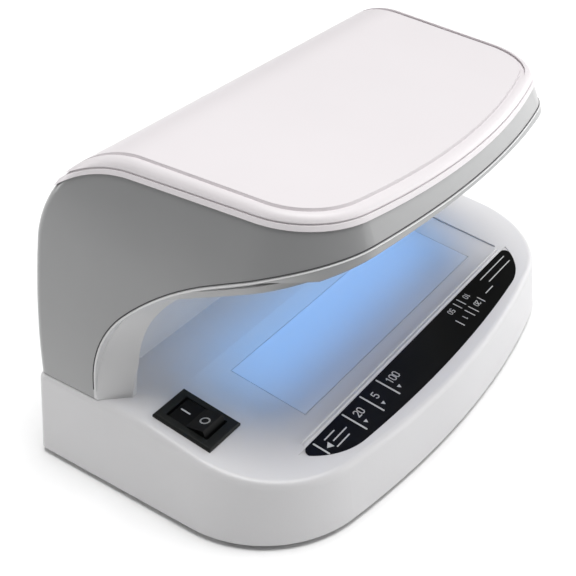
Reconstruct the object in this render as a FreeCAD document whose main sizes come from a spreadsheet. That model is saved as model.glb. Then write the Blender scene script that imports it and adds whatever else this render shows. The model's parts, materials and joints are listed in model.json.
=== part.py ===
import FreeCAD, Part
import math
import os
import Sketcher
from FreeCAD import Placement, Rotation, Vector

# A desktop banknote checker: a rounded base with a sloping deck, and a hood over it that is open at the
# front and at both sides. Millimetres. X is to the right, Y to the back, Z up. The origin is on the
# surface that the feet stand on, below the middle of the base.

DRIVING = {
    # base
    "base_width": 226.4, "base_front": -64.0, "base_back": 64.0, "base_lift": 2.5, "base_height": 33.5,
    "base_draft": 7.5, "base_corner": 45.5, "base_nose": 397.0, "base_rear_corner": 3.5,
    "base_edge": 3.0, "deck_break": 14.2, "deck_slope": 8.25, "wall": 2.5, "gap": 0.3,
    # hood: its plan where it meets the deck, and how far its walls have come in at hood_seam
    "hood_width": 216.8, "hood_front": -77.9, "hood_back": 64.0, "hood_corner": 54.0, "hood_nose": 304.7,
    "hood_rear_corner": 5.0, "hood_lean": 22.95, "hood_bulge": 3.0, "hood_seam": 117.0,
    "hood_top": 121.5, "hood_crown": 36.0, "hood_edge": 3.5, "cover_step": 0.5, "hood_wall": 2.5,
    # the two lines round the white cover: a wide groove on top, and a thin one over its lower lip
    "groove_from": 2.2, "groove_to": 4.4, "lip": 1.6,
    "hood_splay": 6.0, "top_slope": 4.0, "seam_slope": 2.9, "seam_bend": 26.0, "seam_radius": 46.0,
    "seam_turn": 34.0,
    # opening under the hood
    "arch_foot": 35.3, "throat_foot": 24.3, "throat_radius": 55.0, "chamber_foot": 38.0,
    "chamber_radius": 38.0, "roof_rise": 19.9, "rim_depth": 8.7, "rim_strip": 1.2, "liner_wall": 2.0,
    # bill bed, window and label
    "bed_length": 161.0, "bed_front": -48.6, "bed_recess": 0.8, "window_length": 130.0,
    "window_depth": 34.0, "window_thick": 2.0, "label_width": 176.0, "label_chord": -52.2,
    "label_front": -69.4, "label_corner": 30.0, "label_nose": 600.0, "label_thick": 0.4,
    # switch
    "switch_x": -94.5, "switch_along": -15.4, "bezel_width": 17.4, "bezel_length": 26.0,
    "bezel_thick": 1.6, "rocker_width": 11.0, "rocker_radius": 9.0, "rocker_tilt": 9.0,
    "pivot_depth": 2.0, "pivot_pin": 3.0, "plunger_tip": 8.2, "contact_tilt": 8.0, "contact_depth": 10.9,
    "housing_depth": 17.0, "blade_width": 4.8, "blade_thick": 0.8,
    # lamps
    "tube_length": 135.9, "tube_diameter": 15.6, "cap_length": 6.0, "tube_spacing": 20.0,
    "lamp_middle": -17.0, "lamp_opening_length": 124.0, "lamp_opening_depth": 40.0, "tube_height": 11.6,
    "lamp_pin": 2.4, "lamp_pin_reach": 7.1, "lamp_pin_spacing": 4.8, "lamp_plate": 1.2, "sheet": 0.8,
    # feet and fasteners
    "foot_diameter": 13.0, "foot_height": 4.0, "cover_plate": 2.5, "thread": 3.0, "head": 5.6,
    "small_thread": 2.0, "small_head": 3.8,
    # electronics and inlet
    "board_thick": 1.6, "board_length": 96.0, "board_depth": 38.0, "board_stand": 6.0,
    "light_board_length": 136.0, "light_board_depth": 28.0, "light_board_drop": 6.4,
    "inlet_width": 22.0, "inlet_height": 14.0, "inlet_depth": 14.0, "inlet_pin": 2.4,
    "inlet_pin_spacing": 8.6,
}

doc = FreeCAD.newDocument("NoteChecker")
sheet = doc.addObject("Spreadsheet::Sheet", "Sizes")
for row, (alias, value) in enumerate(DRIVING.items(), start=1):
    sheet.set(f"A{row}", alias)
    sheet.set(f"B{row}", str(value))
    sheet.setAlias(f"B{row}", alias)
doc.recompute()

nodes = {}


class Sheet:
    """Reads a driving dimension from the sheet: Size.wall is the cell with the alias wall."""

    def __getattr__(self, alias):
        return float(sheet.get(alias))


Size = Sheet()


def number(expression):
    """The value of an expression over the sheet's cells."""
    return float(sheet.evalExpression(expression))


# ---------------------------------------------------------------- plain helpers

def solid(label, shape, placement=None):
    """A Part::Feature that holds a shape made by code."""
    feature = doc.addObject("Part::Feature", label)
    feature.Shape = shape
    if placement is not None:
        feature.Placement = placement
    return feature


def box(label, length, width, height, placement):
    """A box centred on its placement in X and Y, rising from it in Z. Sizes: expressions or numbers."""
    made = doc.addObject("Part::Box", label)
    for name, size in (("Length", length), ("Width", width), ("Height", height)):
        if isinstance(size, str):
            made.setExpression(name, size)
        else:
            setattr(made, name, size)
    doc.recompute([made])
    corner = Placement(Vector(-made.Length.Value / 2, -made.Width.Value / 2, 0), Rotation())
    made.Placement = placement.multiply(corner)
    return made


def cylinder(label, radius, height, placement):
    """A cylinder standing on its placement. Sizes are sheet expressions or numbers."""
    made = doc.addObject("Part::Cylinder", label)
    for name, size in (("Radius", radius), ("Height", height)):
        if isinstance(size, str):
            made.setExpression(name, size)
        else:
            setattr(made, name, size)
    made.Placement = placement
    return made


def cut(label, base, *tools):
    """base with every tool taken away."""
    tool = tools[0] if len(tools) == 1 else fuse(label + "_tools", *tools)
    made = doc.addObject("Part::Cut", label)
    made.Base, made.Tool = base, tool
    return made


def fuse(label, *parts):
    made = doc.addObject("Part::MultiFuse", label)
    made.Shapes = list(parts)
    made.Refine = True
    return made


def common(label, first, second):
    made = doc.addObject("Part::MultiCommon", label)
    made.Shapes = [first, second]
    return made


def group(label, *parts):
    """Separate solids that share one node."""
    made = doc.addObject("Part::Compound", label)
    made.Links = list(parts)
    return made


def node(name, made):
    """Registers an object as a sub-part; its label is the name of its file."""
    made.Label = name
    nodes[name] = made
    return made


def at(x, y, z, axis=None, angle=0.0):
    turn = Rotation(axis, angle) if axis is not None else Rotation()
    return Placement(Vector(x, y, z), turn)


AXIS_X, AXIS_Y, AXIS_Z = Vector(1, 0, 0), Vector(0, 1, 0), Vector(0, 0, 1)


# ---------------------------------------------------------------- drafted blocks with a rounded front

SPLAY_FROM = -20.0          # the y at which an outline's half width is stated


def add_outline(body, label, half, front, back, corner, nose, rear, height, splay="0"):
    """A closed sketch, symmetric about the YZ plane: sides, straight back, and a front of three arcs.

    Every argument after label is an expression over the sheet, and the sketch's constraints are bound to
    them: half width at SPLAY_FROM, front, back, front corner radius, front arc radius, rear corner radius,
    height, and the angle by which the sides spread towards the back."""
    w, yf, yb = number(half), number(front), number(back)
    rc, rn, rb = number(corner), number(nose), number(rear)
    spread = math.radians(number(splay))
    out = Vector(math.cos(spread), -math.sin(spread), 0)
    reach = w * out.x + SPLAY_FROM * out.y
    cy = yf + rn
    along, slope = (reach - rc) / out.x, math.tan(spread)
    qa, qb = 1 + slope ** 2, along * slope - cy
    yc = (-qb - math.sqrt(qb ** 2 - qa * (along ** 2 + cy ** 2 - (rn - rc) ** 2))) / qa
    xc = along + slope * yc
    rear_y = yb - rb
    rear_x = (reach - rb) / out.x + slope * rear_y
    turn = math.atan2(yc - cy, -xc) + 2 * math.pi
    turn_right = 3 * math.pi - turn

    def arc(x, y, radius, start, end):
        return Part.ArcOfCircle(Part.Circle(Vector(x, y, 0), AXIS_Z, radius), start, end)

    def line(x1, y1, x2, y2):
        return Part.LineSegment(Vector(x1, y1, 0), Vector(x2, y2, 0))

    front_end, rear_end = Vector(xc, yc, 0) + out * rc, Vector(rear_x, rear_y, 0) + out * rb
    sketch = body.newObject("Sketcher::SketchObject", label)
    plane = [f for f in body.Origin.OriginFeatures if f.Role == "XY_Plane"][0]
    sketch.AttachmentSupport = [(plane, "")]
    sketch.MapMode = "FlatFace"
    sketch.setExpression("AttachmentOffset.Base.z", height)
    sketch.addGeometry([
        line(front_end.x, front_end.y, rear_end.x, rear_end.y),
        arc(rear_x, rear_y, rb, -spread, math.pi / 2),
        line(rear_x, yb, -rear_x, yb),
        arc(-rear_x, rear_y, rb, math.pi / 2, math.pi + spread),
        line(-rear_end.x, rear_end.y, -front_end.x, front_end.y),
        arc(-xc, yc, rc, math.pi + spread, turn),
        arc(0, cy, rn, turn, turn_right),
        arc(xc, yc, rc, turn_right, 2 * math.pi - spread),
    ], False)
    right, rear_right, rear_line, rear_left, left, front_left, front_arc, front_right = range(8)
    sketch.addGeometry([Part.Point(Vector(w, SPLAY_FROM, 0)), Part.Point(Vector(-w, SPLAY_FROM, 0))], True)
    mark_right, mark_left = 8, 9
    for first in range(8):
        sketch.addConstraint(Sketcher.Constraint("Tangent", first, 2, (first + 1) % 8, 1))
    sketch.addConstraint(Sketcher.Constraint("Horizontal", rear_line))
    sketch.addConstraint(Sketcher.Constraint("PointOnObject", front_arc, 3, -2))
    sketch.addConstraint(Sketcher.Constraint("PointOnObject", mark_right, 1, right))
    sketch.addConstraint(Sketcher.Constraint("PointOnObject", mark_left, 1, left))
    for mark in (mark_right, mark_left):
        sketch.addConstraint(Sketcher.Constraint("DistanceY", mark, 1, -1, 1, -SPLAY_FROM))
    upright = math.pi / 2 - spread
    bound = [
        ("half_right", Sketcher.Constraint("DistanceX", -1, 1, mark_right, 1, w), half),
        ("half_left", Sketcher.Constraint("DistanceX", mark_left, 1, -1, 1, w), half),
        ("side_right", Sketcher.Constraint("Angle", right, upright), f"90 - ({splay})"),
        ("side_left", Sketcher.Constraint("Angle", left, -upright), f"({splay}) - 90"),
        ("rear_edge", Sketcher.Constraint("DistanceY", -1, 1, rear_line, 1, yb), back),
        ("nose_middle", Sketcher.Constraint("DistanceY", -1, 1, front_arc, 3, cy), f"({front}) + ({nose})"),
        ("nose_radius", Sketcher.Constraint("Radius", front_arc, rn), nose),
        ("corner_left", Sketcher.Constraint("Radius", front_left, rc), corner),
        ("corner_right", Sketcher.Constraint("Radius", front_right, rc), corner),
        ("rear_radius_left", Sketcher.Constraint("Radius", rear_left, rb), rear),
        ("rear_radius_right", Sketcher.Constraint("Radius", rear_right, rb), rear),
    ]
    for name, constraint, expression in bound:
        index = sketch.addConstraint(constraint)
        sketch.renameConstraint(index, name)
        sketch.setExpression("Constraints." + name, expression)
    return sketch


def outline_sizes(prefix, inset):
    """The base's or the hood's plan, set in by inset, with its back stretched beyond the rear wall."""
    return {
        "half": f"Sizes.{prefix}_width / 2 - ({inset})",
        "front": f"Sizes.{prefix}_front + ({inset})",
        "back": f"Sizes.{prefix}_back + 40",
        "corner": f"Sizes.{prefix}_corner - ({inset})",
        "nose": f"Sizes.{prefix}_nose - ({inset})",
        "rear": "5",
    }


def base_rough(label, inset):
    """The base's drafted walls, set in by inset, as a tapered pad."""
    body = doc.addObject("PartDesign::Body", label)
    sketch = add_outline(body, label + "_outline", height="Sizes.base_lift", **outline_sizes("base", inset))
    pad = body.newObject("PartDesign::Pad", label + "_pad")
    pad.Profile = sketch
    pad.setExpression("Length", "Sizes.base_height")
    pad.setExpression("TaperAngle", "-Sizes.base_draft")
    return body


HOOD_SECTIONS = (0, 0.35, 0.7, 1.0, 1.3)      # heights, as parts of the way from the deck to the seam


def hood_rough(label, inset):
    """The hood's leaning, slightly bulging walls, set in by inset, as a loft through five plans."""
    body = doc.addObject("PartDesign::Body", label)
    sketches = []
    for step, part in enumerate(HOOD_SECTIONS):
        come_in = f"{inset} + Sizes.hood_lean * {part} - 4 * Sizes.hood_bulge * {part} * (1 - {part})"
        height = ("Sizes.base_lift + Sizes.base_height + "
                  f"{part} * (Sizes.hood_seam - Sizes.base_lift - Sizes.base_height)")
        sketches.append(add_outline(body, f"{label}_plan_{step}", height=height,
                                    splay=f"Sizes.hood_splay * {part}", **outline_sizes("hood", come_in)))
    loft = body.newObject("PartDesign::AdditiveLoft", label + "_loft")
    loft.Profile = sketches[0]
    loft.Sections = sketches[1:]
    return body


# ---------------------------------------------------------------- profiles seen from the side

def side_path(start, heading, runs):
    """A tangent chain in the YZ plane. heading is in degrees, 0 along +Y and 90 along +Z.

    A run is ("line", length) or ("arc", radius, turn), where a positive turn is to the left."""
    y, z, angle = start[0], start[1], math.radians(heading)
    edges = []
    for run in runs:
        here = Vector(0, y, z)
        if run[0] == "line":
            y += run[1] * math.cos(angle)
            z += run[1] * math.sin(angle)
            edges.append(Part.LineSegment(here, Vector(0, y, z)).toShape())
            continue
        radius, turn = run[1], math.radians(run[2])
        side = 1 if turn > 0 else -1
        cy, cz = y - side * radius * math.sin(angle), z + side * radius * math.cos(angle)

        def on_arc(part):
            a = angle + part * turn
            return Vector(0, cy + side * radius * math.sin(a), cz - side * radius * math.cos(a))

        middle, end = on_arc(0.5), on_arc(1.0)
        edges.append(Part.Arc(here, middle, end).toShape())
        y, z, angle = end.y, end.z, angle + turn
    return edges, Vector(0, y, z)


def close_path(edges, start, end, corners):
    """Closes a chain with straight edges through the corners, from its end back to its start."""
    points = [end] + [Vector(0, *c) for c in corners] + [Vector(0, *start)]
    for first, second in zip(points, points[1:]):
        edges.append(Part.LineSegment(first, second).toShape())
    return Part.Wire(Part.__sortEdges__(edges))


def side_prism(label, wire, half_width):
    """A side profile pushed out by half_width both ways along X."""
    face = Part.Face(wire)
    face.translate(Vector(-half_width, 0, 0))
    return solid(label, face.extrude(Vector(2 * half_width, 0, 0)))


FAR = 150.0          # beyond the object, for cutting tools
SLOPE_FROM = -33.0   # the y at which the heights of the hood's sloping top and seam are stated


def deck_top():
    return Size.base_lift + Size.base_height


def opening_wire(foot, runs, offset=0.0, slant=None):
    """A closed side profile of the space under the hood: up from foot, forward, down in front of it all.

    With slant = (x at the deck, growth of x per mm of height) it lies in a leaning plane instead."""
    start = (foot + offset, deck_top() - 20)
    edges, end = side_path(start, 90, runs)
    wire = close_path(edges, start, end, [(end.y, -10), (start[0], -10)])
    if slant is None:
        return wire
    x, growth = slant
    shear = FreeCAD.Matrix()
    shear.A13, shear.A14 = growth, x - growth * deck_top()
    return wire.transformGeometry(shear)


def arch_wire(offset, slant=None):
    """The edge of the gray side wall."""
    runs = [("line", 28), ("arc", 42 + offset, 46), ("arc", 98 + offset, 23), ("line", 16.6),
            ("arc", 146 + offset, 14.6), ("line", FAR)]
    return opening_wire(Size.arch_foot, runs, offset, slant)


def throat_wire(slant=None):
    """The inner edge of the bevelled rims, and the roof of the opening. It has as many runs as the arch."""
    turn = 90 - Size.roof_rise
    runs = [("line", 23), ("arc", Size.throat_radius, 46), ("arc", Size.throat_radius, turn - 46),
            ("line", 16.6), ("line", 37.1), ("line", FAR)]
    return opening_wire(Size.throat_foot, runs, 0.0, slant)


def throat_roof(y):
    """Height of the opening's sloping roof at y."""
    turn = math.radians(90 - Size.roof_rise)
    end_y = Size.throat_foot - Size.throat_radius * (1 - math.cos(turn))
    end_z = deck_top() + 3 + Size.throat_radius * math.sin(turn)
    return end_z + math.tan(math.radians(Size.roof_rise)) * (end_y - y)


def chamber_wire(offset):
    """The deeper space between the two rims, which shares the throat's roof."""
    rise = Size.roof_rise
    straight = throat_roof(Size.chamber_foot) - Size.chamber_radius * math.tan(math.radians(45 - rise / 2))
    runs = [("line", straight - deck_top() + 20), ("arc", Size.chamber_radius + offset, 90 - rise),
            ("line", FAR)]
    return opening_wire(Size.chamber_foot, runs, offset)


def hood_side_wire(inset):
    """The hood seen from the side: upright back, crown, and a top that comes down towards the front."""
    slope = math.radians(Size.top_slope)
    start = (Size.hood_back - inset, deck_top() - 10)
    crown = Size.hood_crown - inset
    level = Size.hood_top * math.cos(slope) - SLOPE_FROM * math.sin(slope) - inset
    centre = (level - crown + (start[0] - crown) * math.sin(slope)) / math.cos(slope)
    runs = [("line", centre - start[1]), ("arc", crown, 90 + Size.top_slope), ("line", 2 * FAR)]
    edges, end = side_path(start, 90, runs)
    return close_path(edges, start, end, [(end.y, start[1])])


def cover_side_wire(lift=0.0):
    """Everything more than lift above the seam between the white cover and the gray shell."""
    rise = math.radians(Size.seam_slope)
    start = (-FAR, Size.hood_seam + lift - (FAR + SLOPE_FROM) * math.tan(rise))
    straight = (FAR + Size.seam_bend) / math.cos(rise)
    runs = [("line", straight), ("arc", Size.seam_radius, -Size.seam_turn - Size.seam_slope), ("line", FAR)]
    edges, end = side_path(start, Size.seam_slope, runs)
    return close_path(edges, start, end, [(end.y, 2 * FAR), (-FAR, 2 * FAR)])


def deck_wedge_wire(drop):
    """Everything above the deck, drop below its surface: level at the back, sloping down to the front."""
    bend = 60.0
    tangent = bend * math.tan(math.radians(Size.deck_slope / 2))
    top = Size.base_lift + Size.base_height - drop
    start = (FAR, top)
    runs = [("line", FAR - Size.deck_break - tangent), ("arc", bend, Size.deck_slope), ("line", FAR)]
    edges, end = side_path(start, 180, runs)
    return close_path(edges, start, end, [(end.y, FAR), (FAR, FAR)])


def deck(x, along, above=0.0):
    """A place on the sloping deck: x, distance behind the bend measured on the slope, height above it."""
    slope = at(0, Size.deck_break, Size.base_lift + Size.base_height, AXIS_X, Size.deck_slope)
    return slope.multiply(at(x, along, above))


def fillet_where(label, base, radius, accepts):
    """A fillet of one radius on every edge whose two faces' normals, at its middle, accepts takes."""
    doc.recompute()
    shape = base.Shape
    picked = []
    for index, edge in enumerate(shape.Edges, start=1):
        middle = edge.valueAt((edge.FirstParameter + edge.LastParameter) / 2)
        normals = []
        for face in shape.ancestorsOfType(edge, Part.Face):
            u, v = face.Surface.parameter(middle)
            normals.append(face.normalAt(u, v))
        if len(normals) == 2 and (accepts(*normals) or accepts(*reversed(normals))):
            picked.append((index, radius, radius))
    made = doc.addObject("Part::Fillet", label)
    made.Base = base
    made.Edges = picked
    return made


# ---------------------------------------------------------------- the base

def base_block(label, inset, drop):
    """The base's outer form, or its cavity: drafted walls under the sloping deck, and an upright back."""
    rough = base_rough(label + "_rough", inset)
    above = side_prism(label + "_above", deck_wedge_wire(drop), FAR)
    behind = box(label + "_behind", 2 * FAR, 2 * FAR, FAR,
                 at(0, Size.base_back - number(inset) + FAR, -10))
    return cut(label, rough, above, behind)


def leaning(normal):
    return abs(normal.z) < 0.6


def deck_meets_wall(first, second):
    return first.z > 0.95 and leaning(second)


def wall_meets_back(first, second):
    return abs(first.y) > 0.99 and abs(second.x) > 0.9


BASE_BOSSES = [(-88, 46), (88, 46), (-66, -34), (66, -34)]
HOOD_BOSSES = [(-78, 58.5), (-26, 58.5), (26, 58.5), (78, 58.5)]
FEET = [(-88, 34), (88, 34), (-50, -40), (50, -40)]
BOARD_POSTS = [(-14, 12), (74, 12), (-14, 42), (74, 42)]
BOARD_MIDDLE = (30, 27)
LINER_POSTS = [(-36, 42), (36, 42)]
LIGHT_POSTS = [(-65.5, -9), (65.5, -9), (-65.5, 9), (65.5, 9)]
HOLDER_SCREWS = [(-72.5, -12.8), (-72.5, 12.8), (72.5, -12.8), (72.5, 12.8)]
REFLECTOR_POSTS = [(-48, -27.5), (48, -27.5), (-48, 27.5), (48, 27.5)]
INLET_X, INLET_Z = 62.0, 18.0


def plate_top():
    return Size.base_lift + Size.cover_plate


def window_middle():
    return -25.5


def bed_tools(label, extra):
    """Boxes that sink the bill bed: one on the slope, one on the level part behind it."""
    sloped = box(label + "_sloped", "Sizes.bed_length", -number("Sizes.bed_front") + 6, 10,
                 deck(0, (number("Sizes.bed_front") + 6) / 2, -Size.bed_recess - extra))
    level_depth = Size.chamber_foot - Size.deck_break
    level = box(label + "_level", "Sizes.bed_length", level_depth, 10,
                at(0, Size.deck_break + level_depth / 2, deck_top() - Size.bed_recess - extra))
    return [sloped, level]


def make_base_shell():
    outer = fillet_where("base_rear_round", base_block("base_form", "0", 0), Size.base_rear_corner,
                         wall_meets_back)
    outer = fillet_where("base_top_round", outer, Size.base_edge, deck_meets_wall)
    cavity = base_block("base_cavity", "Sizes.wall", Size.wall)
    shell = cut("base_hollow", outer, cavity)

    additions = [shell]
    for index, (x, y) in enumerate(BASE_BOSSES):
        top = deck_top() - 1 if y > Size.deck_break else deck_top() - 8.8
        additions.append(cylinder(f"base_boss_{index}", 4.5, top - plate_top(), at(x, y, plate_top())))
    additions.append(box("window_frame", "Sizes.window_length + 8", "Sizes.window_depth + 8", 3.2,
                         deck(0, window_middle(), -4.5)))
    for index, (x, y) in enumerate(LIGHT_POSTS):
        additions.append(cylinder(f"light_post_{index}", 2.4, "Sizes.light_board_drop",
                                  deck(x, window_middle() + y, -4.5 - Size.light_board_drop)))
    solid_shell = fuse("base_with_bosses", *additions)

    tools = bed_tools("bed", 0)
    tools.append(box("window_seat", "Sizes.window_length + 0.4", "Sizes.window_depth + 0.4", 6,
                     deck(0, window_middle(), -Size.bed_recess - Size.window_thick)))
    tools.append(box("window_light", "Sizes.window_length - 4", "Sizes.window_depth - 4", 20,
                     deck(0, window_middle(), -12)))
    tools.append(box("switch_hole", "Sizes.bezel_width - 2", "Sizes.bezel_length - 2", 30,
                     deck(Size.switch_x, Size.switch_along, -15)))
    for index, (x, y) in enumerate(BASE_BOSSES):
        tools.append(cylinder(f"base_pilot_{index}", "Sizes.thread / 2 - 0.1", 14, at(x, y, plate_top() - 1)))
    for index, (x, y) in enumerate(HOOD_BOSSES):
        tools.append(cylinder(f"hood_screw_hole_{index}", "Sizes.thread / 2 + 0.2", 12,
                              at(x, y, deck_top() - 8)))
    for index, (x, y) in enumerate(LIGHT_POSTS):
        tools.append(cylinder(f"light_pilot_{index}", "Sizes.small_thread / 2 - 0.1", 5,
                              deck(x, window_middle() + y, -5.5 - Size.light_board_drop)))
    tools.append(cylinder("wire_hole", 5, 12, at(0, 50, deck_top() - 8)))
    tools.append(box("inlet_hole", 22.4, 12, 14.4, at(INLET_X, Size.base_back - 2, INLET_Z - 7.2)))
    node("base_shell", cut("base_machined", solid_shell, *tools, label_solid("label_pocket", 0)))
    node("bed_window", box("window_plate", "Sizes.window_length", "Sizes.window_depth", "Sizes.window_thick",
                           deck(0, window_middle(), -Size.bed_recess - Size.window_thick)))


def label_solid(label, lift):
    """The D-shaped label's form on the deck: the front arc, cut off by its straight rear edge."""
    body = doc.addObject("PartDesign::Body", label + "_body")
    sketch = add_outline(body, label + "_outline", half="Sizes.label_width / 2", front="Sizes.label_front",
                         back="0", corner="Sizes.label_corner", nose="Sizes.label_nose", rear="5", height="0")
    pad = body.newObject("PartDesign::Pad", label + "_pad")
    pad.Profile = sketch
    pad.setExpression("Length", "Sizes.label_thick")
    body.Placement = deck(0, 0, -Size.label_thick + lift)
    rear = box(label + "_rear", 2 * FAR, 60, 8, deck(0, Size.label_chord + 30, -4))
    return cut(label, body, rear)


def make_label():
    plate = label_solid("label_plate", 0.05)

    def is_tip(first, second):
        return abs(first.z) < 0.5 and abs(second.z) < 0.5 and (first.y > 0.9) and abs(second.x) > 0.3

    node("control_label", fillet_where("label_tips", plate, 2.5, is_tip))


def make_bottom():
    """The plate that closes the base, its four feet and its four screws."""
    rough = base_rough("bottom_rough", "Sizes.wall + Sizes.gap")
    keep = box("bottom_keep", 2 * FAR, FAR + Size.base_back - Size.wall - Size.gap, "Sizes.cover_plate",
               at(0, (Size.base_back - Size.wall - Size.gap - FAR) / 2, Size.base_lift))
    plate = common("bottom_blank", rough, keep)
    posts = [cylinder(f"board_post_{i}", 3, "Sizes.board_stand", at(x, y, plate_top()))
             for i, (x, y) in enumerate(BOARD_POSTS)]
    plate = fuse("bottom_with_posts", plate, *posts)
    tools, feet, screws = [], [], []
    for index, (x, y) in enumerate(FEET):
        tools.append(cylinder(f"foot_pocket_{index}", "Sizes.foot_diameter / 2", 4,
                              at(x, y, Size.foot_height - 4)))
        feet.append(cylinder(f"foot_{index}", "Sizes.foot_diameter / 2", "Sizes.foot_height", at(x, y, 0)))
    for index, (x, y) in enumerate(BASE_BOSSES):
        tools.append(cylinder(f"bottom_hole_{index}", "Sizes.thread / 2 + 0.2", 10, at(x, y, 0)))
        tools.append(cylinder(f"bottom_sink_{index}", "Sizes.head / 2 + 0.3", 3.7,
                              at(x, y, Size.base_lift - 2.5)))
        screws.append(pan_screw(f"base_screw_{index}", 10, at(x, y, Size.base_lift + 1.2)))
    for index, (x, y) in enumerate(BOARD_POSTS):
        tools.append(cylinder(f"post_pilot_{index}", "Sizes.small_thread / 2 - 0.1", 6,
                              at(x, y, plate_top() + 1)))
    for row in range(7):
        slot = box(f"vent_{row}", 26, 1.6, 10, at(24, 22 + 4 * row, 0))
        tools.append(slot)
    node("bottom_cover", cut("bottom_machined", plate, *tools))
    node("rubber_feet", group("feet", *feet))
    node("base_screws", group("base_screw_set", *screws))


def pan_screw(label, length, placement, thread="Sizes.thread", head="Sizes.head"):
    """A screw whose head hangs below its placement and whose thread points up from it."""
    shank = cylinder(label + "_shank", f"{thread} / 2 - 0.1", length, placement)
    cap = cylinder(label + "_head", f"{head} / 2", 1.2, placement.multiply(at(0, 0, -1.2)))
    whole = fuse(label + "_blank", shank, cap)
    slot = [box(f"{label}_slot_{turn}", 2.6, 0.6, 1.2,
                placement.multiply(at(0, 0, -1.8, AXIS_Z, turn))) for turn in (0, 90)]
    return cut(label, whole, *slot)


# ---------------------------------------------------------------- the hood

def hood_block(label, inset, edge):
    """The hood's outer form set in by inset, with its rear and top edges rounded by edge."""
    form = common(label + "_form", hood_rough(label + "_rough", str(inset)),
                  side_prism(label + "_side", hood_side_wire(inset), FAR))
    if edge == 0:
        return form

    def rim(first, second):
        across = abs(first.x) < 0.001 and (first.y > 0.001 or first.z > 0.99)
        return across and leaning(second) and (abs(second.x) > 0.1 or second.y < -0.1)

    return fillet_where(label + "_round", form, edge, rim)


def lean_plane(depth, side):
    """The plane of one side wall, moved in by depth: its x at the deck and its growth per mm of height."""
    growth = Size.hood_lean / (Size.hood_seam - deck_top())
    return (side * (Size.hood_width / 2 - depth), -side * growth)


def flare(side):
    """The space that the bevelled rim leaves open at one side."""
    wires = [arch_wire(-Size.rim_strip, lean_plane(-12, side)),
             arch_wire(-Size.rim_strip, lean_plane(0, side)),
             throat_wire(lean_plane(Size.rim_depth, side))]
    outer = Part.makeLoft(wires[:2], True, True)
    inner = Part.makeLoft(wires[1:], True, True)
    return [solid(f"flare_outer_{side}", outer), solid(f"flare_inner_{side}", inner)]


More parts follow.
